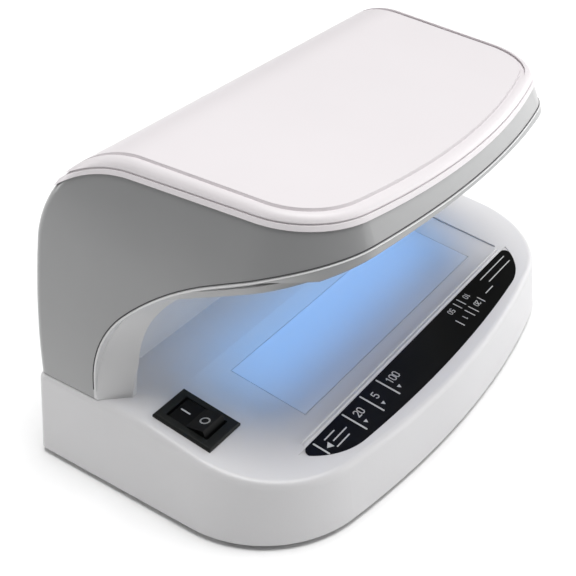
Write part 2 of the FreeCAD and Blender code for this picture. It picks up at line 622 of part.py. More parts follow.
def make_hood():
    step, wall = Size.cover_step, Size.hood_wall
    full = hood_block("hood_full", 0, Size.hood_edge)
    stepped = hood_block("hood_stepped", step, Size.hood_edge)
    cavity = hood_block("hood_cavity", step + wall, 0)
    seam = side_prism("hood_seam_tool", cover_side_wire(), FAR)
    arch = side_prism("arch_tool", arch_wire(0), FAR)

    cover = cut("cover_hollow", common("cover_blank", full, seam), cavity)
    skin = cut("groove_skin", full, hood_block("groove_floor", 1.0, Size.hood_edge - 1))
    ring = cut("groove_ring", hood_rough("groove_outside", "Sizes.groove_from"),
               hood_rough("groove_inside", "Sizes.groove_to"))
    groove = common("rim_groove", ring, skin)
    line_skin = cut("line_skin", full, hood_block("line_floor", 0.6, Size.hood_edge - 0.6))
    line_band = cut("line_band", side_prism("line_low", cover_side_wire(Size.lip), FAR),
                    side_prism("line_high", cover_side_wire(Size.lip + 0.7), FAR))
    line = common("rim_line", line_skin, line_band)
    node("hood_top_cover", cut("cover_grooved", cover, groove, line))

    shell = cut("shell_hollow", cut("shell_blank", stepped, seam), cavity)
    bosses = [cylinder(f"hood_boss_{i}", 4, 14, at(x, y, deck_top())) for i, (x, y) in enumerate(HOOD_BOSSES)]
    for index, (x, z) in enumerate(LINER_POSTS):
        bosses.append(cylinder(f"liner_post_{index}", 4, 22, at(x, 62, z, AXIS_X, 90)))
    shell = fuse("shell_with_bosses", shell, *bosses)
    pilots = [cylinder(f"hood_pilot_{i}", "Sizes.thread / 2 - 0.1", 12, at(x, y, deck_top() - 1))
              for i, (x, y) in enumerate(HOOD_BOSSES)]
    for index, (x, z) in enumerate(LINER_POSTS):
        pilots.append(cylinder(f"liner_pilot_{index}", "Sizes.thread / 2 - 0.1", 12,
                               at(x, 51, z, AXIS_X, 90)))
    node("hood_shell", cut("shell_machined", shell, arch, *pilots))
    screws = [pan_screw(f"hood_screw_{i}", 12, at(x, y, deck_top() - Size.wall))
              for i, (x, y) in enumerate(HOOD_BOSSES)]
    node("hood_screws", group("hood_screw_set", *screws))

    ring = cut("rim_ring", hood_block("rim_outside", step, 0),
               hood_block("rim_inside", step + Size.rim_depth + Size.liner_wall, 0))
    rim_blank = common("rim_blank", ring, side_prism("rim_arch", arch_wire(0), FAR))
    throat = side_prism("throat_tool", throat_wire(), FAR)
    rim = cut("rim_open", rim_blank, throat, *flare(-1), *flare(1))
    chamber = cut("chamber_skin", side_prism("chamber_outer", chamber_wire(Size.liner_wall), FAR),
                  side_prism("chamber_inner", chamber_wire(0), FAR))
    skin = common("chamber_fitted", chamber, hood_block("liner_limit", step + wall + Size.gap, 0))
    liner = fuse("liner_blank", rim, skin)
    bosses = [cylinder(f"reflector_post_{i}", 3.5, 5, roof(x, y, 1))
              for i, (x, y) in enumerate(REFLECTOR_POSTS)]
    liner = fuse("liner_with_posts", liner, *bosses)
    tools = [box("lamp_hole", "Sizes.lamp_opening_length", "Sizes.lamp_opening_depth", 8, roof(0, 0, -3))]
    for index, (x, y) in enumerate(REFLECTOR_POSTS):
        tools.append(cylinder(f"reflector_pilot_{index}", "Sizes.small_thread / 2 - 0.1", 5, roof(x, y, 2)))
    for index, (x, y) in enumerate(HOLDER_SCREWS):
        tools.append(cylinder(f"holder_hole_{index}", "Sizes.small_thread / 2 + 0.1", 6, roof(x, y, -3)))
    for index, (x, z) in enumerate(LINER_POSTS):
        tools.append(cylinder(f"liner_hole_{index}", "Sizes.thread / 2 + 0.2", 12, at(x, 45, z, AXIS_X, 90)))
    tools.append(cylinder("lamp_wire_hole", 4, 8, roof(-80, 16, -2)))
    node("hood_liner", cut("liner_machined", liner, *tools))
    screws = [pan_screw(f"liner_screw_{i}", 9, at(x, Size.chamber_foot, z, AXIS_X, -90))
              for i, (x, z) in enumerate(LINER_POSTS)]
    node("liner_screws", group("liner_screw_set", *screws))


def roof(x, along, above):
    """A place over the opening's sloping roof: x, distance backward on the slope, height above it."""
    slope = at(0, Size.lamp_middle, throat_roof(Size.lamp_middle), AXIS_X, -Size.roof_rise)
    return slope.multiply(at(x, along, above))


# ---------------------------------------------------------------- the lamps

def make_lamps():
    """Two low-power fluorescent tubes with two-pin caps, their holders, the reflector and the clear plate."""
    tube_ends, caps = Size.tube_length / 2, []
    for name, y in (("uv_tube_front", -Size.tube_spacing / 2), ("uv_tube_rear", Size.tube_spacing / 2)):
        start = roof(-tube_ends, y, Size.tube_height).multiply(at(0, 0, 0, AXIS_Y, 90))
        glass_from = start.multiply(at(0, 0, Size.cap_length))
        glass = cylinder(name + "_outer", "Sizes.tube_diameter / 2 - 0.3",
                         "Sizes.tube_length - 2 * Sizes.cap_length", glass_from)
        bore = cylinder(name + "_bore", "Sizes.tube_diameter / 2 - 1.1",
                        "Sizes.tube_length - 2 * Sizes.cap_length", glass_from)
        node(name, cut(name + "_glass", glass, bore))
        far_end = start.multiply(at(0, 0, Size.tube_length, AXIS_X, 180))
        for end, place in (("left", start), ("right", far_end)):
            parts = [cylinder(f"{name}_{end}_cap", "Sizes.tube_diameter / 2", "Sizes.cap_length", place)]
            for side in (-1, 1):
                offset = side * Size.lamp_pin_spacing / 2
                parts.append(cylinder(f"{name}_{end}_pin_{side}", "Sizes.lamp_pin / 2",
                                      "Sizes.lamp_pin_reach + 1",
                                      place.multiply(at(0, offset, -Size.lamp_pin_reach))))
            caps.append(fuse(f"{name}_{end}", *parts))
    node("tube_caps", group("tube_cap_set", *caps))

    for name, side in (("lamp_holder_left", -1), ("lamp_holder_right", 1)):
        x = side * (Size.tube_length / 2 + 0.2 + 4.1)
        block = box(name + "_block", 8.2, 30, 16.4, roof(x, 0, Size.liner_wall))
        tools = []
        for tube in (-1, 1):
            for pin in (-1, 1):
                y = tube * Size.tube_spacing / 2 + pin * Size.lamp_pin_spacing / 2
                tools.append(cylinder(f"{name}_socket_{tube}_{pin}", "Sizes.lamp_pin / 2 + 0.05", 7.4,
                                      roof(x - side * 4.1, y, Size.tube_height).multiply(
                                          at(0, 0, 0, AXIS_Y, side * 90))))
            tools.append(box(f"{name}_notch_{tube}", 3.2, 9.2, 3.4,
                             roof(x + side * 2.6, tube * Size.tube_spacing / 2, 15.4)))
        for index, (sx, sy) in enumerate(HOLDER_SCREWS):
            if sx * side > 0:
                tools.append(cylinder(f"{name}_pilot_{index}", "Sizes.small_thread / 2 - 0.1", 6,
                                      roof(sx, sy, Size.liner_wall - 1)))
        node(name, cut(name + "_drilled", block, *tools))
    screws = [pan_screw(f"holder_screw_{i}", 6, roof(x, y, 0), "Sizes.small_thread", "Sizes.small_head")
              for i, (x, y) in enumerate(HOLDER_SCREWS)]
    node("holder_screws", group("holder_screw_set", *screws))

    node("lamp_window", box("lamp_plate", "Sizes.lamp_opening_length + 6", "Sizes.lamp_opening_depth + 6",
                            "Sizes.lamp_plate", roof(0, 0, Size.liner_wall)))

    half = [(30.5, 6.8), (24.5, 6.8), (21, 13), (13, 21)]
    top = [(-y, z) for y, z in half] + [(y, z) for y, z in reversed(half)]
    corners = [Vector(-64, y, z) for y, z in top + [(y, z - Size.sheet) for y, z in reversed(top)]]
    sheet_face = Part.Face(Part.makePolygon(corners + corners[:1]))
    bent = solid("reflector_sheet", sheet_face.extrude(Vector(128, 0, 0)), roof(0, 0, 0))
    holes = [cylinder(f"reflector_hole_{i}", "Sizes.small_thread / 2 + 0.1", 4, roof(x, y, 4))
             for i, (x, y) in enumerate(REFLECTOR_POSTS)]
    node("lamp_reflector", cut("reflector_drilled", bent, *holes))
    screws = [pan_screw(f"reflector_screw_{i}", 4, roof(x, y, 6.8).multiply(at(0, 0, 0, AXIS_X, 180)),
                        "Sizes.small_thread", "Sizes.small_head")
              for i, (x, y) in enumerate(REFLECTOR_POSTS)]
    node("reflector_screws", group("reflector_screw_set", *screws))


# ---------------------------------------------------------------- the switch

def switch(along=0.0, above=0.0, x=0.0):
    """A place in the switch: along is behind the middle of its frame, above is over the deck."""
    return deck(Size.switch_x + x, Size.switch_along + along, above)


def rocker_place():
    """The rocker's own frame at its pivot, as it rests: rear end pressed, front end raised."""
    return switch(0, -Size.pivot_depth).multiply(at(0, 0, 0, AXIS_X, -Size.rocker_tilt))


def make_switch():
    frame = box("bezel_plate", "Sizes.bezel_width", "Sizes.bezel_length", "Sizes.bezel_thick", switch())
    frame = fillet_where("bezel_round", frame, 0.8,
                         lambda a, b: a.z > 0.9 and abs(b.z) < 0.5)
    opening = box("bezel_opening", "Sizes.rocker_width + 0.6", "2 * Sizes.rocker_radius + 0.6", 4,
                  switch(0, -1))
    node("switch_bezel", cut("bezel_frame", frame, opening))

    tub = box("housing_block", "Sizes.bezel_width - 2.4", "Sizes.bezel_length - 2.4",
              "Sizes.housing_depth", switch(0, -Size.housing_depth))
    tools = [box("housing_hollow", "Sizes.rocker_width + 0.6", "2 * Sizes.rocker_radius + 0.6",
                 "Sizes.housing_depth", switch(0, 2.5 - Size.housing_depth)),
             cylinder("pivot_bore", "Sizes.pivot_pin / 2 + 0.05", 14,
                      switch(0, -Size.pivot_depth, -7).multiply(at(0, 0, 0, AXIS_Y, 90)))]
    blades = []
    for index, (y, top) in enumerate(((-5.6, -12.9), (0, -11.75), (5.6, -12.9))):
        tools.append(box(f"blade_slot_{index}", "Sizes.blade_width", "Sizes.blade_thick", 5,
                         switch(y, -Size.housing_depth - 1)))
        blades.append(box(f"blade_{index}", "Sizes.blade_width", "Sizes.blade_thick", 24 + top,
                          switch(y, -24)))
    node("switch_housing", cut("housing_tub", tub, *tools))
    node("switch_terminals", group("terminal_blades", *blades))

    place = rocker_place()
    radius, reach = Size.rocker_radius, 8.2
    rise = math.tan(math.radians(Size.rocker_tilt))
    valley = 3.4
    end_top = (reach, valley + reach * rise)
    scale = radius / math.hypot(*end_top)
    outer = math.sqrt(radius ** 2 - 4)

    def spot(y, z):
        return Vector(-Size.rocker_width / 2, y, z)

    tip_y = end_top[0] * scale if scale < 1 else end_top[0]
    tip_z = valley + tip_y * rise
    reach_y = math.sqrt(radius ** 2 - tip_z ** 2)
    edges = [
        Part.LineSegment(spot(-reach_y, tip_z), spot(0, valley)).toShape(),
        Part.LineSegment(spot(0, valley), spot(reach_y, tip_z)).toShape(),
        Part.Arc(spot(reach_y, tip_z), spot(radius, 0), spot(outer, -2)).toShape(),
        Part.LineSegment(spot(outer, -2), spot(-outer, -2)).toShape(),
        Part.Arc(spot(-outer, -2), spot(-radius, 0), spot(-reach_y, tip_z)).toShape(),
    ]
    profile = Part.Face(Part.Wire(Part.__sortEdges__(edges)))
    key = solid("rocker_key", profile.extrude(Vector(Size.rocker_width, 0, 0)), place)
    stem = cylinder("rocker_stem", 3, 7.5, place.multiply(at(0, 0, -5.5)))
    pins = cylinder("rocker_pins", "Sizes.pivot_pin / 2", 13.8,
                    place.multiply(at(-6.9, 0, 0, AXIS_Y, 90)))
    rocker = fuse("rocker_solid", key, stem, pins)
    hollows = [cylinder("spring_bore", 1.9, 5, place.multiply(at(0, 0, -5.5)))]
    for side in (-1, 1):
        hollows.append(box(f"rocker_hollow_{side}", 8.4, 3.6, 4, place.multiply(at(0, side * 5.6, -2.5))))
    node("switch_rocker", cut("rocker_cored", rocker, *hollows))

    head = cylinder("plunger_head", 1.7, 3, place.multiply(at(0, 0, -6.5)))
    neck = cylinder("plunger_neck", 1.2, 1, place.multiply(at(0, 0, 1.2 - Size.plunger_tip)))
    ball = doc.addObject("Part::Sphere", "plunger_ball")
    ball.Radius = 1.2
    ball.Placement = place.multiply(at(0, 0, 1.2 - Size.plunger_tip))
    node("switch_plunger", fuse("plunger", head, neck, ball))

    coil = Part.makeHelix(0.72, 2.5, 1.35)
    wire = Part.Wire(Part.makeCircle(0.2, Vector(1.35, 0, 0), AXIS_Y))
    spring = Part.Wire(coil).makePipeShell([wire], True, True)
    node("switch_spring", solid("spring", spring, place.multiply(at(0, 0, -3.25))))

    pivot = switch(0, -Size.contact_depth).multiply(at(0, 0, 0, AXIS_X, Size.contact_tilt))
    node("switch_contact", box("contact_strip", 4, 12, 0.8, pivot.multiply(at(0, 0, -0.4))))


# ---------------------------------------------------------------- electronics and power inlet

def board(x, y, above=0.0):
    """A place on the ballast board, from its middle; above is over its upper face."""
    top = plate_top() + Size.board_stand + Size.board_thick
    return at(BOARD_MIDDLE[0] + x, BOARD_MIDDLE[1] + y, top + above)


def light_board(x, y, above=0.0):
    """A place on the backlight board, from its middle; above is over its upper face."""
    return deck(x, window_middle() + y, -4.5 - Size.light_board_drop + above)


def make_electronics():
    plate = box("ballast_plate", "Sizes.board_length", "Sizes.board_depth", "Sizes.board_thick",
                board(0, 0, -Size.board_thick))
    holes = [cylinder(f"ballast_hole_{i}", "Sizes.small_thread / 2 + 0.1", 6,
                      at(x, y, plate_top() + Size.board_stand - 1)) for i, (x, y) in enumerate(BOARD_POSTS)]
    node("ballast_board", cut("ballast_drilled", plate, *holes))

    core = [box("choke_yoke", 18, 16, 3.5, board(-20, 0)),
            box("choke_top", 18, 16, 3.5, board(-20, 0, 10.5)),
            box("choke_left", 3, 16, 14, board(-27.5, 0)),
            box("choke_right", 3, 16, 14, board(-12.5, 0)),
            box("choke_coil", 10, 12, 14, board(-20, 0))]
    node("ballast_choke", fuse("choke", *core))
    cans = [cylinder(f"capacitor_{i}", 4, 13, board(4, y)) for i, y in enumerate((-6, 6))]
    node("ballast_capacitors", group("capacitors", *cans))
    plugs = []
    for index, (x, y) in enumerate(((-40, 0), (18, -12), (18, 12))):
        turn = board(x, y).multiply(at(0, 0, 0, AXIS_Z, 90))
        shell = box(f"plug_{index}", 12, 6, 8, turn)
        plugs.append(cut(f"plug_cored_{index}", shell, box(f"plug_hollow_{index}", 10, 4, 8,
                                                           turn.multiply(at(0, 0, 1.5)))))
    node("ballast_connectors", group("connectors", *plugs))

    panel = box("light_panel", "Sizes.light_board_length", "Sizes.light_board_depth", "Sizes.board_thick",
                light_board(0, 0, -Size.board_thick))
    holes = [cylinder(f"light_hole_{i}", "Sizes.small_thread / 2 + 0.1", 6, light_board(x, y, -3))
             for i, (x, y) in enumerate(LIGHT_POSTS)]
    node("backlight_board", cut("light_drilled", panel, *holes))
    leds = [box(f"led_{row}_{column}", 5, 5, 1.4, light_board(-52.5 + 15 * column, 12 * row - 6))
            for row in range(2) for column in range(8)]
    node("backlight_leds", group("leds", *leds))

    screws = [pan_screw(f"ballast_screw_{i}", 5, at(x, y, plate_top() + Size.board_stand + Size.board_thick,
                                                    AXIS_X, 180), "Sizes.small_thread", "Sizes.small_head")
              for i, (x, y) in enumerate(BOARD_POSTS)]
    screws += [pan_screw(f"light_screw_{i}", 5, light_board(x, y, -Size.board_thick),
                         "Sizes.small_thread", "Sizes.small_head") for i, (x, y) in enumerate(LIGHT_POSTS)]
    node("board_screws", group("board_screw_set", *screws))


def make_inlet():
    """A recessed two-pole mains inlet in the back wall."""
    middle = Size.base_back - Size.inlet_depth / 2
    low = INLET_Z - Size.inlet_height / 2
    barrel = box("inlet_barrel", "Sizes.inlet_width", "Sizes.inlet_depth", "Sizes.inlet_height",
                 at(INLET_X, middle, low))
    flange = box("inlet_flange", 27, 1.6, 18, at(INLET_X, Size.base_back - Size.wall - 0.8, INLET_Z - 9))
    spacing = Size.inlet_pin_spacing / 2
    tools = [box("inlet_recess", "Sizes.inlet_pin_spacing", 12, 7.0,
                 at(INLET_X, Size.base_back - 5, INLET_Z - 3.5))]
    pins = []
    for side in (-1, 1):
        x = INLET_X + side * spacing
        tools.append(cylinder(f"inlet_lobe_{side}", 3.9, 12, at(x, Size.base_back + 1, INLET_Z, AXIS_X, 90)))
        tools.append(cylinder(f"inlet_bore_{side}", "Sizes.inlet_pin / 2", 20,
                              at(x, Size.base_back + 1, INLET_Z, AXIS_X, 90)))
        pins.append(cylinder(f"pin_{side}", "Sizes.inlet_pin / 2", 16,
                             at(x, Size.base_back - 1.5, INLET_Z, AXIS_X, 90)))
    node("power_inlet", cut("inlet_body", fuse("inlet_blank", barrel, flange), *tools))
    node("inlet_pins", group("inlet_pin_pair", *pins))


def wire_run(label, radius, *points):
    """A round wire along straight runs through the points, joined by tangent arcs."""
    points = [Vector(*p) for p in points]
    edges, here = [], points[0]
    for before, corner, after in zip(points, points[1:], points[2:]):
        back, ahead = before - corner, after - corner
        reach = 0.45 * min(back.Length, ahead.Length)
        half_angle = back.getAngle(ahead) / 2
        bend = reach * math.tan(half_angle)
        back.normalize()
        ahead.normalize()
        inward = back + ahead
        inward.normalize()
        start, end = corner + back * reach, corner + ahead * reach
        middle = corner + inward * (bend / math.sin(half_angle) - bend)
        edges.append(Part.LineSegment(here, start).toShape())
        edges.append(Part.Arc(start, middle, end).toShape())
        here = end
    edges.append(Part.LineSegment(here, points[-1]).toShape())
    profile = Part.Wire(Part.makeCircle(radius, points[0], points[1] - points[0]))
    return solid(label, Part.Wire(edges).makePipeShell([profile], True, False))


def make_wires():
    """Leads from the inlet to the switch and board, and from the board up the hood's back to the lamps."""
    middle_blade, front_blade = switch(0, -21, 3.4).Base, switch(-5.6, -21, 3.4).Base
    feeds = [
        wire_run("feed_live", 0.8, (57.7, 46.2, 18), (57.7, 40, 19), (48, 41, 28), (20, 49, 28),
                 (-30, 48, 22), (-70, 30, 14), (-84, 6, 10), tuple(middle_blade)),
        wire_run("feed_switched", 0.8, tuple(front_blade), (-80, -6, 10), (-55, 10, 10), (-27, 20, 13),
                 (-22, 26, 24), (-12, 27, 28), (-10, 27, 15.5)),
        wire_run("feed_return", 0.8, (66.3, 46.2, 18), (66.3, 40, 20), (58, 37, 28), (49, 39, 28),
                 (48, 39, 15.5)),
    ]
    node("inlet_wires", group("inlet_wire_set", *feeds))
    leads = []
    for index, side in enumerate((-1, 1)):
        bend, end = roof(side * 84, 12, 14).Base, roof(side * 77.3, 4, 12).Base
        row = 15 + 3 * side
        leads.append(wire_run(f"lamp_lead_{index}", 0.9, (48, row, 15.5), (48, row, 27), (30, 38, 30),
                              (2 * side, 50, 27), (2 * side, 50, 43), (side * 36, 50, 70),
                              (side * 74, 44, 90), tuple(bend), tuple(end)))
    node("lamp_wires", group("lamp_wire_set", *leads))


make_base_shell()
make_label()
make_bottom()
make_hood()
make_lamps()
make_switch()
make_electronics()
make_inlet()
make_wires()
doc.recompute()
broken = [made.Label for made in doc.Objects if "Invalid" in made.State or "Error" in made.State]
broken += [name for name, made in nodes.items() if made.Shape.isNull() or not made.Shape.isValid()]
if broken:
    raise RuntimeError("these objects failed: " + ", ".join(broken))

os.makedirs("parts", exist_ok=True)
for name, made in nodes.items():
    made.Shape.exportStep(f"parts/{name}.step")
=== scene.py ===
import bpy
import bmesh
import json
import math
from mathutils import Matrix, Vector


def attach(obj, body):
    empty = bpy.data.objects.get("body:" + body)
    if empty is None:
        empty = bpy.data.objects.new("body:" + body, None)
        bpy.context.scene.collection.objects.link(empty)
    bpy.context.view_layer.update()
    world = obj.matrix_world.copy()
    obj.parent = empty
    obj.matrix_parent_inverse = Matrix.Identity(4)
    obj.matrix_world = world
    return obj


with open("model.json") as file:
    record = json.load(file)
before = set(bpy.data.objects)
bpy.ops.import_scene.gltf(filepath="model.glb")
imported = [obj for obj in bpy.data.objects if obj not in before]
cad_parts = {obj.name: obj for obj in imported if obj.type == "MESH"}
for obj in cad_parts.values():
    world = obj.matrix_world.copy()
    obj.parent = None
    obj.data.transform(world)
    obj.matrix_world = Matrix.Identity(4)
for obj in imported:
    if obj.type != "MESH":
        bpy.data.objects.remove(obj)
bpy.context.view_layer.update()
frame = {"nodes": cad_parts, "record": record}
NODES = frame["nodes"]
MM = 0.001
WHITE = (1.0, 1.0, 1.0, 1.0)

# ---------------------------------------------------------------- camera, light and floor

CAMERA_PLACE = (-0.3058, -0.1880, 0.2818)
CAMERA_DOWN, CAMERA_TURN = 33.89, -55.11  # degrees below the horizon, and turned from the y axis


def make_camera():
    data = bpy.data.cameras.new("camera")
    data.lens = 65.38
    data.sensor_width = 36.0
    data.shift_y = -0.012
    data.clip_start, data.clip_end = 0.02, 20.0
    camera = bpy.data.objects.new("camera", data)
    camera.location = CAMERA_PLACE
    camera.rotation_euler = (math.radians(90 - CAMERA_DOWN), 0.0, math.radians(CAMERA_TURN))
    bpy.context.scene.collection.objects.link(camera)
    bpy.context.scene.camera = camera


def area_light(name, place, target, size, power, colour=(1, 1, 1)):
    """A rectangular light at place, turned towards target."""
    data = bpy.data.lights.new(name, "AREA")
    data.shape = "RECTANGLE"
    data.size, data.size_y = size
    data.energy = power
    data.color = colour
    lamp = bpy.data.objects.new(name, data)
    lamp.location = place
    lamp.rotation_euler = (Vector(target) - Vector(place)).to_track_quat("-Z", "Y").to_euler()
    bpy.context.scene.collection.objects.link(lamp)
    return lamp


def make_world():
    """A weak, even light from all round, which the camera sees as a white backdrop."""
    world = bpy.data.worlds.new("studio")
    world.use_nodes = True
    nodes, links = world.node_tree.nodes, world.node_tree.links
    sky = nodes["Background"]
    sky.inputs["Color"].default_value = WHITE
    sky.inputs["Strength"].default_value = 0.12
    backdrop = nodes.new("ShaderNodeBackground")
    backdrop.inputs["Color"].default_value = WHITE
    backdrop.inputs["Strength"].default_value = 0.95
    seen = nodes.new("ShaderNodeLightPath")
    mix = nodes.new("ShaderNodeMixShader")
    links.new(seen.outputs["Is Camera Ray"], mix.inputs[0])
    links.new(sky.outputs[0], mix.inputs[1])
    links.new(backdrop.outputs[0], mix.inputs[2])
    links.new(mix.outputs[0], nodes["World Output"].inputs["Surface"])
    bpy.context.scene.world = world


def make_studio():
    """Soft light from above, from the right in front and from the left behind, and a pale floor."""
    make_world()
    bpy.context.scene.view_settings.view_transform = "Standard"
    sun = bpy.data.lights.new("light_above", "SUN")
    sun.energy, sun.angle = 3.05, math.radians(42)
    above = bpy.data.objects.new("light_above", sun)
    above.rotation_euler = (math.radians(3), math.radians(6), 0)
    bpy.context.scene.collection.objects.link(above)
    area_light("light_right", place=(1.04, -0.93, 0.42), target=(0.03, -0.05, 0.08), size=(1.7, 0.8),
               power=11.5)
    area_light("light_left", place=(-0.65, 1.10, 0.45), target=(-0.10, 0.05, 0.06), size=(0.5, 0.5),
               power=3.6)
    bpy.ops.mesh.primitive_plane_add(size=6.0)
    floor = bpy.context.object
    floor.name = "floor"
    paper = plastic("floor_paper", (0.94, 0.94, 0.94), 0.9, grain=300, grain_depth=0.02)
    floor.data.materials.append(paper)


# ---------------------------------------------------------------- materials

# The sockets of a colour Mix node that are read by number, because its names repeat for each data type.
MIX_FACTOR, MIX_A, MIX_B, MIX_RESULT = 0, 6, 7, 2
ACRYLIC_IOR = 1.49
COAT_ROUGHNESS = 0.28
CLOUD_SCALE = 14.0
GRAIN_HEIGHT = 0.0002  # metres, at a depth of 1
TUBE_BRIGHT, TUBE_END = 0.045, 0.062  # metres from a tube's middle: where its glow starts and stops fading
LIP_BACK, LIP_FRONT = -0.020, -0.048  # metres along y, between which the liner's colour is painted darker towards its front lip, as painted shade
SCRATCH_SCALE, SCRATCH_WIDTH, SCRATCH_AMOUNT = 420, 0.05, 0.35


def object_axis(nodes, links, axis):
    """The output that gives a surface point's coordinate along axis, in metres."""
    place = nodes.new("ShaderNodeTexCoord")
    split = nodes.new("ShaderNodeSeparateXYZ")
    links.new(place.outputs["Object"], split.inputs["Vector"])
    return split.outputs[axis]


def plastic(name, colour, rough, coat=0.0, grain=1800.0, grain_depth=0.06, tint=0.03, metallic=0.0,
            shine=0.5):
    """Moulded plastic, or metal: faint cloudy colour, a fine grain and uneven roughness.

    grain is the scale of the fine noise, tint how far the colour wanders, shine the specular level."""
    material = bpy.data.materials.new(name)
    material.use_nodes = True
    nodes, links = material.node_tree.nodes, material.node_tree.links
    surface = nodes["Principled BSDF"]
    surface.inputs["Metallic"].default_value = metallic
    surface.inputs["Specular IOR Level"].default_value = shine
    surface.inputs["Coat Weight"].default_value = coat
    surface.inputs["Coat Roughness"].default_value = COAT_ROUGHNESS
    place = nodes.new("ShaderNodeTexCoord")
    cloud = nodes.new("ShaderNodeTexNoise")
    cloud.inputs["Scale"].default_value = CLOUD_SCALE
    cloud.inputs["Detail"].default_value = 4.0
    links.new(place.outputs["Object"], cloud.inputs["Vector"])
    ramp = nodes.new("ShaderNodeValToRGB")
    ramp.color_ramp.elements[0].position, ramp.color_ramp.elements[1].position = 0.35, 0.65
    ramp.color_ramp.elements[0].color = (*[c * (1 - tint) for c in colour], 1)
    ramp.color_ramp.elements[1].color = (*[min(1.0, c * (1 + tint)) for c in colour], 1)
    links.new(cloud.outputs["Fac"], ramp.inputs["Fac"])
    links.new(ramp.outputs["Color"], surface.inputs["Base Color"])
    fine = nodes.new("ShaderNodeTexNoise")
    fine.inputs["Scale"].default_value = grain
    fine.inputs["Detail"].default_value = 2.0
    links.new(place.outputs["Object"], fine.inputs["Vector"])
    spread = nodes.new("ShaderNodeMapRange")
    spread.inputs["To Min"].default_value = rough * 0.85
    spread.inputs["To Max"].default_value = min(1.0, rough * 1.15)
    links.new(fine.outputs["Fac"], spread.inputs["Value"])
    links.new(spread.outputs["Result"], surface.inputs["Roughness"])
    bump = nodes.new("ShaderNodeBump")
    bump.inputs["Strength"].default_value = grain_depth
    bump.inputs["Distance"].default_value = GRAIN_HEIGHT
    links.new(fine.outputs["Fac"], bump.inputs["Height"])
    links.new(bump.outputs["Normal"], surface.inputs["Normal"])
    return material


def glowing(name, colour, glow, strength):
    """A lamp's phosphor coat: it glows along the tube and fades to a quarter at the ends."""
    material = plastic(name, colour, 0.35, coat=0.6, grain=3000)
    nodes, links = material.node_tree.nodes, material.node_tree.links
    surface = nodes["Principled BSDF"]
    distance = nodes.new("ShaderNodeMath")
    distance.operation = "ABSOLUTE"
    links.new(object_axis(nodes, links, "X"), distance.inputs[0])
    ends = nodes.new("ShaderNodeMapRange")
    ends.inputs["From Min"].default_value = TUBE_BRIGHT
    ends.inputs["From Max"].default_value = TUBE_END
    ends.inputs["To Min"].default_value = strength
    ends.inputs["To Max"].default_value = strength * 0.25
    links.new(distance.outputs[0], ends.inputs["Value"])
    links.new(ends.outputs["Result"], surface.inputs["Emission Strength"])
    surface.inputs["Emission Color"].default_value = (*glow, 1)
    return material


def clear(name, colour, rough, amount):
    """Clear or opal acrylic: see-through by amount, with a slightly uneven surface."""
    material = plastic(name, colour, rough, coat=0.3, grain=900, tint=0.015)
    surface = material.node_tree.nodes["Principled BSDF"]
    surface.inputs["Transmission Weight"].default_value = amount
    surface.inputs["IOR"].default_value = ACRYLIC_IOR
    return material


def wear(material, scratch_colour):
    """Multiplies a metal's colour by a web of fine scratches."""
    nodes, links = material.node_tree.nodes, material.node_tree.links
    surface = nodes["Principled BSDF"]
    scratch = nodes.new("ShaderNodeTexVoronoi")
    scratch.feature = "DISTANCE_TO_EDGE"
    scratch.inputs["Scale"].default_value = SCRATCH_SCALE
    ramp = nodes.new("ShaderNodeValToRGB")
    ramp.color_ramp.elements[0].position, ramp.color_ramp.elements[1].position = 0.0, SCRATCH_WIDTH
    ramp.color_ramp.elements[0].color = (*scratch_colour, 1)
    mix = nodes.new("ShaderNodeMix")
    mix.data_type = "RGBA"
    mix.blend_type = "MULTIPLY"
    mix.inputs[MIX_FACTOR].default_value = SCRATCH_AMOUNT
    links.new(surface.inputs["Base Color"].links[0].from_socket, mix.inputs[MIX_A])
    links.new(scratch.outputs["Distance"], ramp.inputs["Fac"])
    links.new(ramp.outputs["Color"], mix.inputs[MIX_B])
    links.new(mix.outputs[MIX_RESULT], surface.inputs["Base Color"])
    return material


def painted_shade_front(material, colour, start, end):
    """Paints shade on a material: blends it into the darker colour towards the front, from start to end along
    y in metres.
    """
    nodes, links = material.node_tree.nodes, material.node_tree.links
    surface = nodes["Principled BSDF"]
    depth = nodes.new("ShaderNodeMapRange")
    depth.interpolation_type = "SMOOTHSTEP"
    depth.inputs["From Min"].default_value = start
    depth.inputs["From Max"].default_value = end
    links.new(object_axis(nodes, links, "Y"), depth.inputs["Value"])
    mix = nodes.new("ShaderNodeMix")
    mix.data_type = "RGBA"
    mix.inputs[MIX_B].default_value = (*colour, 1)
    links.new(depth.outputs["Result"], mix.inputs[MIX_FACTOR])
    links.new(surface.inputs["Base Color"].links[0].from_socket, mix.inputs[MIX_A])
    links.new(mix.outputs[MIX_RESULT], surface.inputs["Base Color"])
    return material


def metal(name, colour, rough, grain, scratch_colour):
    """Bare or plated metal with fine scratches."""
    return wear(plastic(name, colour, rough, grain=grain, metallic=1.0), scratch_colour)


